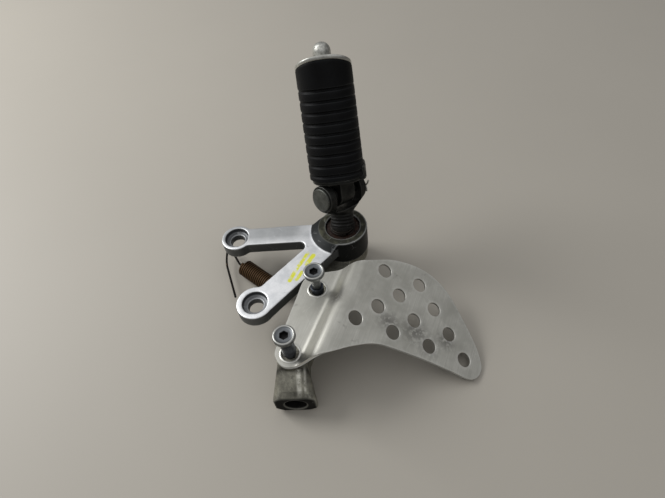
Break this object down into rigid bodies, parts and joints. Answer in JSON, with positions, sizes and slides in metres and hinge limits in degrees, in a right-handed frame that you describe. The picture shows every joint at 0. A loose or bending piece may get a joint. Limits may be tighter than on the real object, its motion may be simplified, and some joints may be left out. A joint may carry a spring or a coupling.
{
  "type": "motorcycle footpeg",
  "caption": "Folding rubber rider's footpeg on a cast V-shaped bracket, with a drilled sheet heel guard on two loosened socket screws and a loose return spring.",
  "frame": {"origin": "centre of the upper mounting bore, on the back face of the V bracket", "axes": "+Z leaves the bracket's front face along the mounting bores, +X runs along the upper arm towards the peg boss, +Y points away from the lug"},
  "size_m": [0.1894, 0.1942, 0.1683],
  "materials": {
    "cast_bracket": "satin cast and polished",
    "cast_stay": "dull grimy casting",
    "brushed_sheet": "brushed",
    "zinc_steel": "dulled zinc plate",
    "dark_steel": "worn black-grey",
    "bronze": "grimy reddish brown",
    "rusty_wire": "rusty",
    "peg_rubber": "matte black",
    "bright_steel": "satin bright"
  },
  "bodies": {
    "bracket": {"hanger": "cast_bracket", "guard_stay": "cast_stay", "heel_guard": "brushed_sheet", "guard_bolt_upper": "zinc_steel", "guard_bolt_lower": "zinc_steel", "guard_collar_upper": "zinc_steel", "guard_collar_lower": "zinc_steel", "holder_bush": "bronze", "holder_spring_washer": "dark_steel", "holder_washer": "dark_steel", "peg_holder": "dark_steel", "holder_back_washer": "zinc_steel", "holder_nut": "zinc_steel", "clevis_pin": "zinc_steel", "pin_washer": "zinc_steel", "split_pin": "bright_steel", "peg_spring": "dark_steel", "return_spring": "rusty_wire", "spring_post": "zinc_steel"},
    "peg": {"peg_core": "dark_steel", "peg_rubber": "peg_rubber", "end_plate": "bright_steel", "feeler_bolt": "bright_steel"}
  },
  "joints": [
    {"name": "peg_fold", "type": "hinge", "parent": "bracket", "child": "peg", "pos_m": [0.083, 0.014, 0.038], "axis": [0.676, 0.6713, -0.304], "range_deg": [0, 85], "stiffness_Nm_per_rad": 0.15, "springref_deg": -34.38}
  ]
}
